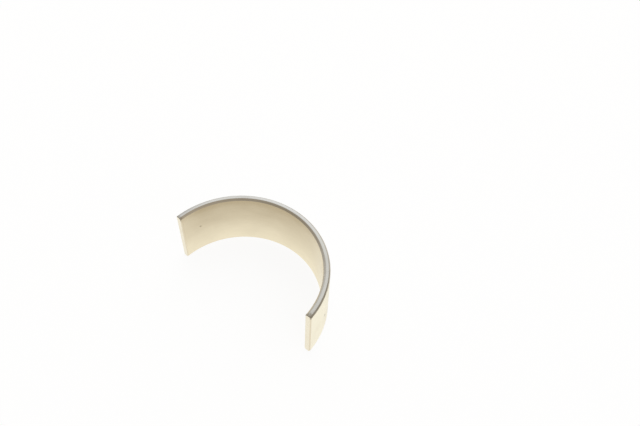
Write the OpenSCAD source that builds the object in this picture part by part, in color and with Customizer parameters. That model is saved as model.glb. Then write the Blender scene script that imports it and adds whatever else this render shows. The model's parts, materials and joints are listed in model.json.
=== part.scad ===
// Plain half shell of a connecting-rod bearing, as it is before it is fitted.
// It stands on one end face: Z is the bore axis, the crown points to +Y
// and the two joint faces look to -Y. The origin is the centre of the bearing.

/* [Fit] */
// Diameter of the housing bore that the shell is pressed into
housing_bore = 52; // [40:0.5:80]
// Wall of the shell, backing and lining together
wall = 2; // [1.4:0.05:3.5]
// Width of the shell along the bore axis
width = 20; // [10:0.5:40]
// How much wider than the housing bore the loose shell is across its joint faces
free_spread = 1.4; // [0:0.1:4]
// How far each joint face stands proud of the housing split once the shell is seated
crush = 0.03; // [0:0.01:0.1]

/* [Edges] */
// Chamfer at each end of the bore, across the wall
bore_chamfer = 0.6; // [0.1:0.05:0.8]
// Length of the same chamfer along the bore
bore_chamfer_length = 0.5; // [0.1:0.05:1]
// Chamfer at each end of the back
back_chamfer = 0.45; // [0.1:0.05:0.8]
// Edge break where a joint face meets the bore
joint_bore_break = 0.2; // [0.05:0.05:0.5]
// Edge break where a joint face meets the back
joint_back_break = 0.3; // [0.05:0.05:0.5]

/* [Hidden] */
shell_colour = [0.85, 0.81, 0.71];
$fn = 240;

// Springing open keeps the length of the middle of the wall, so the loose shell
// has a larger radius than the seated one and sweeps a little under a half turn.
seated_mid_r = (housing_bore - wall) / 2;
half_length = seated_mid_r * PI / 2 + crush;

// Middle radius of the loose wall when it sweeps an angle to each side of the crown
function loose_mid_r(sweep) = half_length * 180 / (PI * sweep);

// Distance across the joint faces at the back for the same angle
function joint_span(sweep) = 2 * (loose_mid_r(sweep) + wall / 2) * sin(sweep);

// Angle that gives a wanted span, by halving the range: a smaller angle is a wider shell
function sweep_for(span, low = 45, high = 100, steps = 40) =
    let (middle = (low + high) / 2)
    steps == 0 ? middle
    : joint_span(middle) > span ? sweep_for(span, middle, high, steps - 1)
    : sweep_for(span, low, middle, steps - 1);

half_sweep = sweep_for(housing_bore + free_spread);
bore_r = loose_mid_r(half_sweep) - wall / 2;
back_r = bore_r + wall;
half_width = width / 2;
cut_over = 1;

// Section of the wall with its four chamfers, radius along X and bore axis along Y
wall_section = [
    [bore_r, bore_chamfer_length - half_width],
    [bore_r + bore_chamfer, -half_width],
    [back_r - back_chamfer, -half_width],
    [back_r, back_chamfer - half_width],
    [back_r, half_width - back_chamfer],
    [back_r - back_chamfer, half_width],
    [bore_r + bore_chamfer, half_width],
    [bore_r, half_width - bore_chamfer_length]
];

// The wall rolled about the bore axis, centred on the crown
module rolled_wall() {
    rotate([0, 0, 90 - half_sweep])
        rotate_extrude(angle = 2 * half_sweep)
            polygon(wall_section);
}

// Square bar on one edge of the right-hand joint face: it cuts both faces back by leg
module edge_break(edge_r, leg) {
    side = leg * sqrt(2);
    rotate([0, 0, 90 - half_sweep])
        translate([edge_r, 0, 0])
            rotate([0, 0, 45])
                cube([side, side, width + 2 * cut_over], center = true);
}

// One-piece shell: rolled wall with the edges of both joint faces broken
module bearing_shell() {
    color(shell_colour)
        difference() {
            rolled_wall();
            for (flip = [0, 1])
                mirror([flip, 0, 0]) {
                    edge_break(bore_r, joint_bore_break);
                    edge_break(back_r, joint_back_break);
                }
        }
}

bearing_shell();
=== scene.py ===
import json
import math

import bmesh
import bpy
from mathutils import Matrix, Vector


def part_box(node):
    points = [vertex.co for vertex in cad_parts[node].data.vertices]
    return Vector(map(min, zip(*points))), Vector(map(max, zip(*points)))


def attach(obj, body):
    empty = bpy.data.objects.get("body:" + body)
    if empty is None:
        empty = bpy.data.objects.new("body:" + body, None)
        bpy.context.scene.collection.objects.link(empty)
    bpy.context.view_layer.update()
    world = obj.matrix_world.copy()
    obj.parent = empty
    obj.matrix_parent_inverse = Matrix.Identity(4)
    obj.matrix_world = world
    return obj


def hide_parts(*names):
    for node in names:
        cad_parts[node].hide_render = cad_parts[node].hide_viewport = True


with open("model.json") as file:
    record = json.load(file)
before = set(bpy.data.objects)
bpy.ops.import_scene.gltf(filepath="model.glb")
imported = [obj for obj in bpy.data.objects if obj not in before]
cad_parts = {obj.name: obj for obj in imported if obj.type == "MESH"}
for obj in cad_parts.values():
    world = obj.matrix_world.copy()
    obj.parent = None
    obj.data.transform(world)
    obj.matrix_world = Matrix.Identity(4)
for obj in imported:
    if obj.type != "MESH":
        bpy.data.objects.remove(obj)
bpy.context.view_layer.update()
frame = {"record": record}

mm = 0.001
nodeName = "bearing_shell"
mounts = {mount["name"]: mount for mount in frame["record"]["mounts"]}
boreDims = mounts["journal_bore"]["dims"]
seatDims = mounts["housing_seat"]["dims"]
jointNormal = Vector(mounts["joint_face_right"]["axis"])
nodeLow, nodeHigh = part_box(nodeName)

# the shell as packed: radii about Z, half its width and half its sweep from the crown
boreRadius = boreDims["r_mm"] * mm
backRadius = seatDims["r_mm"] * mm
halfWidth = (nodeHigh.z - nodeLow.z) / 2
halfSweep = math.atan2(-jointNormal.y, jointNormal.x)
boreChamferLength = halfWidth - boreDims["length_mm"] * mm / 2
backChamfer = halfWidth - seatDims["length_mm"] * mm / 2
print("frame loaded, half sweep", round(math.degrees(halfSweep), 2), "degrees")


class Flow:
    # one output socket, so that shader maths is written as an expression
    def __init__(self, finish, socket):
        self.finish = finish
        self.socket = socket

    def maths(self, operation, first, second=0.0):
        return self.finish.add("ShaderNodeMath", {"operation": operation}, {0: first, 1: second})

    def __add__(self, other):
        return self.maths("ADD", self, other)

    def __radd__(self, other):
        return self.maths("ADD", other, self)

    def __sub__(self, other):
        return self.maths("SUBTRACT", self, other)

    def __rsub__(self, other):
        return self.maths("SUBTRACT", other, self)

    def __mul__(self, other):
        return self.maths("MULTIPLY", self, other)

    def __rmul__(self, other):
        return self.maths("MULTIPLY", other, self)

    def __truediv__(self, other):
        return self.maths("DIVIDE", self, other)

    def __pow__(self, other):
        return self.maths("POWER", self, other)

    def __abs__(self):
        return self.maths("ABSOLUTE", self)


class Finish:
    # a node tree being filled, for a material or for the world
    def __init__(self, owner):
        owner.use_nodes = True
        self.tree = owner.node_tree
        self.tree.nodes.clear()

    def node(self, kind, settings=None, sockets=None):
        node = self.tree.nodes.new(kind)
        for name, value in (settings or {}).items():
            if name == "stops":
                self.setStops(node.color_ramp, value)
            else:
                setattr(node, name, value)
        for name, value in (sockets or {}).items():
            if isinstance(value, Flow):
                self.tree.links.new(value.socket, node.inputs[name])
            else:
                node.inputs[name].default_value = value
        return node

    def add(self, kind, settings=None, sockets=None, output=0):
        return Flow(self, self.node(kind, settings, sockets).outputs[output])

    def setStops(self, ramp, stops):
        while len(ramp.elements) < len(stops):
            ramp.elements.new(1.0)
        for element, (place, colour) in zip(ramp.elements, stops):
            element.position = place
            element.color = (*colour, 1.0)

    def spot(self):
        # Object coordinates, in metres
        return self.add("ShaderNodeTexCoord", output="Object")

    def axes(self):
        parts = self.node("ShaderNodeSeparateXYZ", {}, {"Vector": self.spot()})
        return [Flow(self, parts.outputs[axis]) for axis in "XYZ"]

    def noise(self, scale, detail=3.0):
        # noise with its own scale along each axis
        stretched = self.add("ShaderNodeMapping", {}, {"Vector": self.spot(), "Scale": scale})
        return self.noiseAt(stretched, detail)

    def noiseAt(self, vector, detail, roughness=0.55):
        # noise of about -0.5 to 0.5
        sockets = {"Vector": vector, "Scale": 1.0, "Detail": detail, "Roughness": roughness}
        return self.add("ShaderNodeTexNoise", {}, sockets) - 0.5

    def smooth(self, value, low, high):
        sockets = {"Value": value, "From Min": low, "From Max": high}
        return self.add("ShaderNodeMapRange", {"interpolation_type": "SMOOTHSTEP"}, sockets)

    def blend(self, factor, first, second, how="MIX"):
        # inputs 6 and 7 and output 2 are the colours of a Mix node
        sockets = {"Factor": factor, 6: first, 7: second}
        return self.add("ShaderNodeMix", {"data_type": "RGBA", "blend_type": how}, sockets, output=2)

    def bump(self, height, strength, distance):
        sockets = {"Height": height, "Strength": strength, "Distance": distance}
        return self.add("ShaderNodeBump", {}, sockets)


def closeMetal(finish, sockets):
    shader = finish.add("ShaderNodeBsdfPrincipled", {}, {"Metallic": 1.0, **sockets})
    finish.node("ShaderNodeOutputMaterial", {}, {"Surface": shader})


def grey(value):
    return (value, value, value, 1.0)


def inMetres(span):
    return [place * mm for place in span]


def leftToRight(right, pair):
    # a value for the left of the shell and one for the right, by a mask of the right half
    return pair[0] + (pair[1] - pair[0]) * right


dirtGrain = {
    "scale": (2200.0, 2200.0, 2200.0),
    "ragged": 1.6,        # how far the noise moves the outline
    "edge": (0.25, 1.0),  # from solid to nothing, in squares of the half sizes
}


def speck(finish, radius, angle, height, along, upright, slant):
    # mask of one grain of dirt on a round wall: angle from the crown, half sizes in mm
    x, y, z = finish.axes()
    turn = math.radians(angle)
    sideways = x * math.cos(turn) - y * math.sin(turn)
    outward = x * math.sin(turn) + y * math.cos(turn) - radius
    rise = z - height * mm - slant * sideways
    flat = (sideways / (along * mm)) ** 2.0 + (rise / (upright * mm)) ** 2.0
    deep = (outward / (along * mm)) ** 2.0
    ragged = dirtGrain["ragged"] * finish.noise(dirtGrain["scale"])
    return 1.0 - finish.smooth(flat + deep + ragged, *dirtGrain["edge"])


lining = {
    "colour": (0.905, 0.815, 0.61, 1.0),
    "paintedShade": (0.57, 0.485, 0.335, 1.0),  # painted shade, darker towards the upper end
    "paintedShadeSpan": (-12.0, 9.0),           # mm from mid-width
    "paintedShadeDrift": 4.0,                   # mm that the clouding moves it by
    "shadedRim": (0.45, 0.36, 0.215, 1.0),      # painted shade, deepest in the last strip below the upper chamfer
    "shadedRimSpan": (6.0, 9.8),                # mm from mid-width
    "shadedRimDrift": 3.0,
    "shadedRimDepth": 0.55,
    "lessShadeRight": 0.62,                   # less painted shade on the right
    "lessShadeRightSpan": (-2.0, 18.0),       # mm along X
    "lessShadeEnds": 0.35,                    # and next to the joint faces
    "lessShadeEndsSpan": (2.0, 9.0),          # mm along Y
    "lessShadeRim": 0.7,                      # share of that lightening at the rim
    "mottle": 0.2,
    "dirt": (0.20, 0.14, 0.08, 1.0),
    "dirtDepth": 0.9,
    "roughness": 0.22,
    "roughClouds": 0.10,
    "roughMarks": 0.08,
    "edgeTint": (1.0, 0.985, 0.92, 1.0),  # seen along the surface
    "bump": {"strength": 0.25, "distance": 2e-6},
    "marksScale": (50.0, 50.0, 9000.0),
    "cloudScale": (90.0, 90.0, 140.0),
    "speck": {"angle": -73.1, "height": 1.3, "along": 0.36, "upright": 0.31, "slant": 0.0},
}


def liningFinish():
    # bored bearing metal: fine marks run round the bore, with faint clouding, and painted shade that
    # darkens it towards the upper end
    material = bpy.data.materials.new("liningMetal")
    finish = Finish(material)
    marks = finish.noise(lining["marksScale"], detail=2.0)
    cloud = finish.noise(lining["cloudScale"], detail=4.0)
    x, y, height = finish.axes()
    # painted shade: darker towards the upper end and deepest just below the upper chamfer, lighter on the
    # right and next to the joint faces
    paintedShade = finish.smooth(height + lining["paintedShadeDrift"] * mm * cloud, *inMetres(lining["paintedShadeSpan"]))
    shadedRim = finish.smooth(height + lining["shadedRimDrift"] * mm * cloud, *inMetres(lining["shadedRimSpan"]))
    right = finish.smooth(x, *inMetres(lining["lessShadeRightSpan"]))
    nearJoints = 1.0 - finish.smooth(y, *inMetres(lining["lessShadeEndsSpan"]))
    lessShade = lining["lessShadeRight"] * right + lining["lessShadeEnds"] * nearJoints
    mottle = lining["mottle"] * (cloud + marks)
    colour = finish.blend(paintedShade * (1.0 - lessShade) + mottle, lining["colour"], lining["paintedShade"])
    colour = finish.blend(shadedRim * (lining["shadedRimDepth"] - lining["lessShadeRim"] * lessShade), colour, lining["shadedRim"])
    dirt = lining["dirtDepth"] * speck(finish, boreRadius, **lining["speck"])
    colour = finish.blend(dirt, colour, lining["dirt"])
    closeMetal(finish, {
        "Base Color": colour,
        "Roughness": lining["roughness"] + lining["roughClouds"] * cloud + lining["roughMarks"] * marks,
        "Specular Tint": lining["edgeTint"],
        "Normal": finish.bump(marks, **lining["bump"]),
    })
    return material


back = {
    "colour": (0.95, 0.90, 0.755, 1.0),
    "scuffed": (0.79, 0.72, 0.565, 1.0),
    "scuffSpan": (-0.05, 0.6),           # of the scuffs and the grain together
    "scuffGrain": 0.8,                   # share of the grain
    "dirt": (0.16, 0.13, 0.09, 1.0),
    "roughness": 0.30,
    "roughScuffs": 0.10,
    "roughGrain": 0.08,
    "edgeTint": (1.0, 0.98, 0.90, 1.0),  # seen along the surface
    "bump": {"strength": 0.25, "distance": 3e-6},
    "rollingScale": (60.0, 60.0, 5000.0),
    "scuffScale": (160.0, 160.0, 90.0),
    "speck": {"angle": 68.2, "height": -2.1, "along": 0.85, "upright": 0.38, "slant": 0.15},
}


def backFinish():
    # flashed steel back: rolling grain along the strip and light scuffs
    material = bpy.data.materials.new("backSteel")
    finish = Finish(material)
    grain = finish.noise(back["rollingScale"], detail=2.0)
    scuff = finish.noise(back["scuffScale"], detail=5.0)
    scuffed = finish.smooth(scuff + back["scuffGrain"] * grain, *back["scuffSpan"])
    colour = finish.blend(scuffed, back["colour"], back["scuffed"])
    dirt = speck(finish, backRadius, **back["speck"])
    colour = finish.blend(dirt, colour, back["dirt"])
    closeMetal(finish, {
        "Base Color": colour,
        "Roughness": back["roughness"] + back["roughScuffs"] * scuff + back["roughGrain"] * grain,
        "Specular Tint": back["edgeTint"],
        "Normal": finish.bump(grain, **back["bump"]),
    })
    return material


turned = {
    # colours at places along X, in mm from the crown
    "endFace": [
        (-25.8, (0.67, 0.66, 0.625)),
        (-23.5, (0.745, 0.735, 0.69)),
        (6.0, (0.74, 0.735, 0.70)),
        (12.0, (0.69, 0.684, 0.628)),
        (24.0, (0.665, 0.655, 0.605)),
    ],
    # bore chamfer: darker and browner on the left, partly tarnish and partly painted shade
    "boreChamfer": [
        (-23.0, (0.62, 0.53, 0.40)),
        (-13.0, (0.73, 0.67, 0.575)),
        (12.0, (0.735, 0.68, 0.58)),
        (20.5, (0.91, 0.885, 0.81)),
    ],
    "backChamfer": [
        (-25.0, (0.50, 0.45, 0.37)),
        (25.0, (0.57, 0.52, 0.43)),
    ],
    "wear": (0.845, 0.83, 0.81, 1.0),  # multiplies the colours
    "wearSpan": (-0.1, 0.6),           # of the clouding and the lines together
    "stain": (0.30, 0.25, 0.17, 1.0),  # brown at the ends of the arc
    "stainReach": (1.3, 2.2),          # mm from the joint face, on the left and on the right
    "stainDepth": (0.4, 0.7),
    "stainRagged": 1.8,
    "roughness": 0.27,
    "roughClouds": 0.10,
    "roughLines": 0.10,
    "roughStain": 0.15,
    "bump": {"strength": 0.3, "distance": 3e-6},
    "linesPerMetre": 7000.0,
    "cloudScale": (180.0, 180.0, 180.0),
    "grimeScale": (1300.0, 1300.0, 1300.0),
}


def toneAcross(finish, x, tones):
    # a ramp from one end of the back's diameter to the other
    stops = [((place * mm / backRadius + 1.0) / 2, colour) for place, colour in tones]
    return finish.add("ShaderNodeValToRGB", {"stops": stops}, {"Fac": (x / backRadius + 1.0) * 0.5})


def turnedFinish(name, tones):
    # end faces and chamfers: fine lines turned about the bore axis, browned next to the joint faces
    material = bpy.data.materials.new(name)
    finish = Finish(material)
    x, y, z = finish.axes()
    radius = (x * x + y * y) ** 0.5
    across = finish.add("ShaderNodeCombineXYZ", {}, {"X": (radius + abs(z)) * turned["linesPerMetre"]})
    lines = finish.noiseAt(across, detail=3.0, roughness=0.5)
    cloud = finish.noise(turned["cloudScale"], detail=4.0)
    grime = finish.noise(turned["grimeScale"], detail=4.0)
    worn = finish.smooth(cloud + lines, *turned["wearSpan"])
    colour = finish.blend(worn, toneAcross(finish, x, tones), turned["wear"], "MULTIPLY")
    right = finish.smooth(x, -mm, mm)
    toJoint = -1.0 * (abs(x) * jointNormal.x + y * jointNormal.y)
    reach = leftToRight(right, turned["stainReach"]) * mm
    stain = 1.0 - finish.smooth(toJoint / reach + turned["stainRagged"] * grime, 0.0, 1.0)
    colour = finish.blend(stain * leftToRight(right, turned["stainDepth"]), colour, turned["stain"])
    uneven = turned["roughClouds"] * cloud + turned["roughLines"] * lines + turned["roughStain"] * stain
    closeMetal(finish, {
        "Base Color": colour,
        "Roughness": turned["roughness"] + uneven,
        "Normal": finish.bump(lines, **turned["bump"]),
    })
    return material


def endFaceFinish():
    return turnedFinish("turnedEnd", turned["endFace"])


def boreChamferFinish():
    return turnedFinish("turnedBoreChamfer", turned["boreChamfer"])


def backChamferFinish():
    return turnedFinish("turnedBackChamfer", turned["backChamfer"])


joint = {
    "colour": (0.90, 0.83, 0.655, 1.0),
    "brokenEdge": (0.80, 0.71, 0.535, 1.0),
    "stained": (0.76, 0.67, 0.49, 1.0),
    "stainedSpan": (0.05, 0.6),  # of the clouding and the lines together
    "stainedLines": 0.5,         # share of the lines
    "grime": 0.05,               # at the upper end of a joint face
    "edgeGrime": 0.75,           # at the upper end of its broken edges
    "grimeSpan": (-1.6, -0.5),   # mm from the upper end
    "grimeDrift": 1.0,           # mm that the clouding moves it by
    "roughness": 0.28,
    "roughClouds": 0.12,
    "roughLines": 0.08,
    "bump": {"strength": 0.3, "distance": 3e-6},
    "broachScale": (7000.0, 7000.0, 60.0),
    "cloudScale": (300.0, 300.0, 300.0),
}


def broachedFinish(name, fresh, grime):
    # fine lines along the bore axis, left by the broach, with grime at the upper end
    material = bpy.data.materials.new(name)
    finish = Finish(material)
    lines = finish.noise(joint["broachScale"], detail=2.0)
    cloud = finish.noise(joint["cloudScale"], detail=4.0)
    stained = finish.smooth(cloud + joint["stainedLines"] * lines, *joint["stainedSpan"])
    colour = finish.blend(stained, fresh, joint["stained"])
    height = finish.axes()[2]
    fromEnd = height - halfWidth + joint["grimeDrift"] * mm * cloud
    upper = finish.smooth(fromEnd, *inMetres(joint["grimeSpan"]))
    colour = finish.blend(upper * grime, colour, turned["stain"])
    closeMetal(finish, {
        "Base Color": colour,
        "Roughness": joint["roughness"] + joint["roughClouds"] * cloud + joint["roughLines"] * lines,
        "Normal": finish.bump(lines, **joint["bump"]),
    })
    return material


def jointFinish():
    return broachedFinish("jointFace", joint["colour"], joint["grime"])


def brokenEdgeFinish():
    return broachedFinish("brokenEdge", joint["brokenEdge"], joint["edgeGrime"])


finishes = [
    liningFinish,
    backFinish,
    endFaceFinish,
    boreChamferFinish,
    backChamferFinish,
    jointFinish,
    brokenEdgeFinish,
]


shell = {
    "steps": 200,           # stretches round the sweep
    "boreChamfer": 0.6,     # mm across the wall, as packed
    "jointBoreBreak": 0.2,  # mm, as packed
    "jointBackBreak": 0.3,
    "boreEdgeRound": 0.16,  # mm, where a bore chamfer runs out into an end face
    "boreEdgeSegments": 4,
    "edgeRound": 0.03,      # mm, on every other sharp edge
    "edgeSegments": 2,
    "sharpAngle": 20.0,     # degrees between faces, above which an edge is rounded
    "near": 0.01,           # mm, within which an edge counts as lying on a face
    "levelEnd": 0.96,       # least share of a normal along Z on an end face
    "levelChamfer": 0.3,    # and on a chamfer
    "outwardRound": 0.98,   # least share along the radius on the bore and the back
    "outwardJoint": 0.99,   # least share along the joint's normal on a joint face
    "faceWeight": 100,      # how much large faces set the shading
}
boreEdgeRadius = boreRadius + shell["boreChamfer"] * mm
near = shell["near"] * mm


def wallSection():
    # outline of the wall, (radius, height), with its four chamfers
    return [
        (boreRadius, boreChamferLength - halfWidth),
        (boreEdgeRadius, -halfWidth),
        (backRadius - backChamfer, -halfWidth),
        (backRadius, backChamfer - halfWidth),
        (backRadius, halfWidth - backChamfer),
        (backRadius - backChamfer, halfWidth),
        (boreEdgeRadius, halfWidth),
        (boreRadius, halfWidth - boreChamferLength),
    ]


def alongJoint(way):
    # how far a point or a normal reaches along the normal of the nearer joint face
    return abs(way.x) * jointNormal.x + way.y * jointNormal.y


def jointEdges(mesh, radius):
    # the edges along the bore axis where a joint face meets a wall of that radius
    found = []
    for edge in mesh.edges:
        first, second = (v.co for v in edge.verts)
        upright = abs(first.z - second.z) > halfWidth
        onJoint = max(abs(alongJoint(first)), abs(alongJoint(second))) < near
        if upright and onJoint and abs(first.xy.length - radius) < near:
            found.append(edge)
    return found


def boreEdges(mesh):
    # the arcs between the bore chamfers and the end faces
    found = []
    for edge in mesh.edges:
        inArc = [abs(v.co.xy.length - boreEdgeRadius) < near for v in edge.verts]
        onEnd = [abs(abs(v.co.z) - halfWidth) < near for v in edge.verts]
        if all(inArc + onEnd):
            found.append(edge)
    return found


def bevelEdges(mesh, edges, size, segments):
    bmesh.ops.bevel(mesh, geom=edges, offset=size * mm, offset_type="OFFSET", affect="EDGES",
                    segments=segments, profile=0.5, material=-1, clamp_overlap=True)


def finishOf(face):
    # which finish a face takes, by where it is and which way it looks
    level = abs(face.normal.z)
    outward = face.normal.xy.dot(face.calc_center_median().xy.normalized())
    if level > shell["levelEnd"]:
        return endFaceFinish
    if level > shell["levelChamfer"]:
        return backChamferFinish if outward > 0 else boreChamferFinish
    if outward < -shell["outwardRound"]:
        return liningFinish
    if outward > shell["outwardRound"]:
        return backFinish
    if alongJoint(face.normal) > shell["outwardJoint"]:
        return jointFinish
    return brokenEdgeFinish


def buildShell():
    mesh = bmesh.new()
    way = Vector((math.sin(halfSweep), math.cos(halfSweep), 0.0))
    ring = [mesh.verts.new(way * radius + Vector((0, 0, height))) for radius, height in wallSection()]
    loop = [mesh.edges.new((ring[i - 1], ring[i])) for i in range(len(ring))]
    swept = bmesh.ops.spin(mesh, geom=ring + loop, cent=(0, 0, 0), axis=(0, 0, 1),
                           angle=2 * halfSweep, steps=shell["steps"])
    far = [part for part in swept["geom_last"] if isinstance(part, bmesh.types.BMEdge)]
    for ends in (loop, far):
        bmesh.ops.contextual_create(mesh, geom=ends)
    bmesh.ops.recalc_face_normals(mesh, faces=mesh.faces[:])
    bevelEdges(mesh, jointEdges(mesh, boreRadius), shell["jointBoreBreak"], 1)
    bevelEdges(mesh, jointEdges(mesh, backRadius), shell["jointBackBreak"], 1)
    bevelEdges(mesh, boreEdges(mesh), shell["boreEdgeRound"], shell["boreEdgeSegments"])
    limit = math.radians(shell["sharpAngle"])
    sharp = [edge for edge in mesh.edges if edge.calc_face_angle(0.0) > limit]
    bevelEdges(mesh, sharp, shell["edgeRound"], shell["edgeSegments"])
    mesh.normal_update()
    for face in mesh.faces:
        face.smooth = True
        face.material_index = finishes.index(finishOf(face))
    data = bpy.data.meshes.new("shellBody")
    mesh.to_mesh(data)
    mesh.free()
    for makeFinish in finishes:
        data.materials.append(makeFinish())
    piece = bpy.data.objects.new("shellBody", data)
    bpy.context.scene.collection.objects.link(piece)
    even = piece.modifiers.new("evenNormals", "WEIGHTED_NORMAL")
    even.keep_sharp = True
    even.weight = shell["faceWeight"]
    return piece


shellBody = buildShell()
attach(shellBody, "root")
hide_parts(nodeName)
print("shell built,", len(shellBody.data.polygons), "faces")


floor = {
    "reach": 6.0,         # metres to each side
    "colour": grey(0.9),
    "shaded": grey(0.2),  # lit share of the white that the camera and the metal see: it keeps the shadow
    "glow": 0.89,         # the rest of that white
}


def buildFloor():
    mesh = bmesh.new()
    bmesh.ops.create_grid(mesh, x_segments=1, y_segments=1, size=floor["reach"])
    bmesh.ops.translate(mesh, verts=mesh.verts[:], vec=(0, 0, nodeLow.z))
    data = bpy.data.meshes.new("floor")
    mesh.to_mesh(data)
    mesh.free()
    material = bpy.data.materials.new("paleFloor")
    finish = Finish(material)
    matt = finish.add("ShaderNodeBsdfDiffuse", {}, {"Color": floor["colour"]})
    shaded = finish.add("ShaderNodeBsdfDiffuse", {}, {"Color": floor["shaded"]})
    glow = finish.add("ShaderNodeEmission", {}, {"Color": grey(1.0), "Strength": floor["glow"]})
    white = finish.add("ShaderNodeAddShader", {}, {0: shaded, 1: glow})
    camera = finish.add("ShaderNodeLightPath", output="Is Camera Ray")
    glossy = finish.add("ShaderNodeLightPath", output="Is Glossy Ray")
    through = finish.add("ShaderNodeLightPath", output="Is Transmission Ray")
    mixed = finish.add("ShaderNodeMixShader", {}, {0: camera + glossy + through, 1: matt, 2: white})
    finish.node("ShaderNodeOutputMaterial", {}, {"Surface": mixed})
    data.materials.append(material)
    piece = bpy.data.objects.new("floor", data)
    bpy.context.scene.collection.objects.link(piece)


buildFloor()


def awayFrom(azimuth, elevation):
    # unit vector towards the viewer: azimuth 0 stands on -Y, 90 on +X
    turn, lift = math.radians(azimuth), math.radians(elevation)
    return Vector((math.sin(turn) * math.cos(lift), -math.cos(turn) * math.cos(lift), math.sin(lift)))


sky = {
    "bright": (0.63, 0.63, 0.64, 1.0),
    "dim": (0.16, 0.11, 0.02, 1.0),
    "dims": [  # dimmer sides of the room: azimuth and elevation, how dim and how narrow
        {"way": (345.0, 30.0), "depth": 0.62, "power": 1.0},
        {"way": (138.0, 12.0), "depth": 0.50, "power": 8.0},
    ],
}


def buildSky():
    # soft room, dimmer on two sides
    world = bpy.data.worlds.new("softRoom")
    bpy.context.scene.world = world
    finish = Finish(world)
    way = finish.add("ShaderNodeTexCoord", output="Generated")
    dimmed = 0.0
    for dim in sky["dims"]:
        ways = {0: way, 1: awayFrom(*dim["way"])}
        facing = finish.add("ShaderNodeVectorMath", {"operation": "DOT_PRODUCT"}, ways, output="Value")
        dimmed = dimmed + dim["depth"] * facing.maths("MAXIMUM", facing, 0.0) ** dim["power"]
    tone = finish.blend(dimmed, sky["bright"], sky["dim"])
    light = finish.add("ShaderNodeBackground", {}, {"Color": tone, "Strength": 1.0})
    finish.node("ShaderNodeOutputWorld", {}, {"Surface": light})


buildSky()


rearLamp = {
    "way": (216.0, 54.0),  # azimuth and elevation from the object
    "distance": 0.6,       # metres
    "size": 0.42,
    "power": 0.17,
    "colour": (0.98, 0.99, 1.0),
}


def buildLamp():
    light = bpy.data.lights.new("rear", "AREA")
    light.shape = "DISK"
    light.size = rearLamp["size"]
    light.energy = rearLamp["power"]
    light.color = rearLamp["colour"]
    holder = bpy.data.objects.new("rear", light)
    way = awayFrom(*rearLamp["way"])
    holder.location = way * rearLamp["distance"]
    holder.rotation_euler = way.to_track_quat("Z", "Y").to_euler()
    bpy.context.scene.collection.objects.link(holder)


buildLamp()


view = {
    "place": (84.27, -71.53, 177.19),  # mm from the centre of the bearing
    "azimuth": 37.724,                 # degrees
    "elevation": 52.313,
    "roll": 2.804,
    "focal": 693.69,                   # pixels of a 640 wide frame
    "frameWidth": 640,
    "sensor": 36.0,                    # mm
    "clipStart": 0.01,                 # metres
}


def buildCamera():
    lens = bpy.data.cameras.new("view")
    lens.sensor_width = view["sensor"]
    lens.lens = view["focal"] / view["frameWidth"] * view["sensor"]
    lens.clip_start = view["clipStart"]
    holder = bpy.data.objects.new("view", lens)
    turn = Matrix.Rotation(math.radians(view["azimuth"]), 3, "Z")
    lift = Matrix.Rotation(math.radians(90.0 - view["elevation"]), 3, "X")
    roll = Matrix.Rotation(math.radians(view["roll"]), 3, "Z")
    holder.rotation_euler = (turn @ lift @ roll).to_euler()
    holder.location = Vector(view["place"]) * mm
    bpy.context.scene.collection.objects.link(holder)
    bpy.context.scene.camera = holder


buildCamera()
bpy.context.scene.view_settings.view_transform = "Standard"
print("floor, room, lamp and camera set")
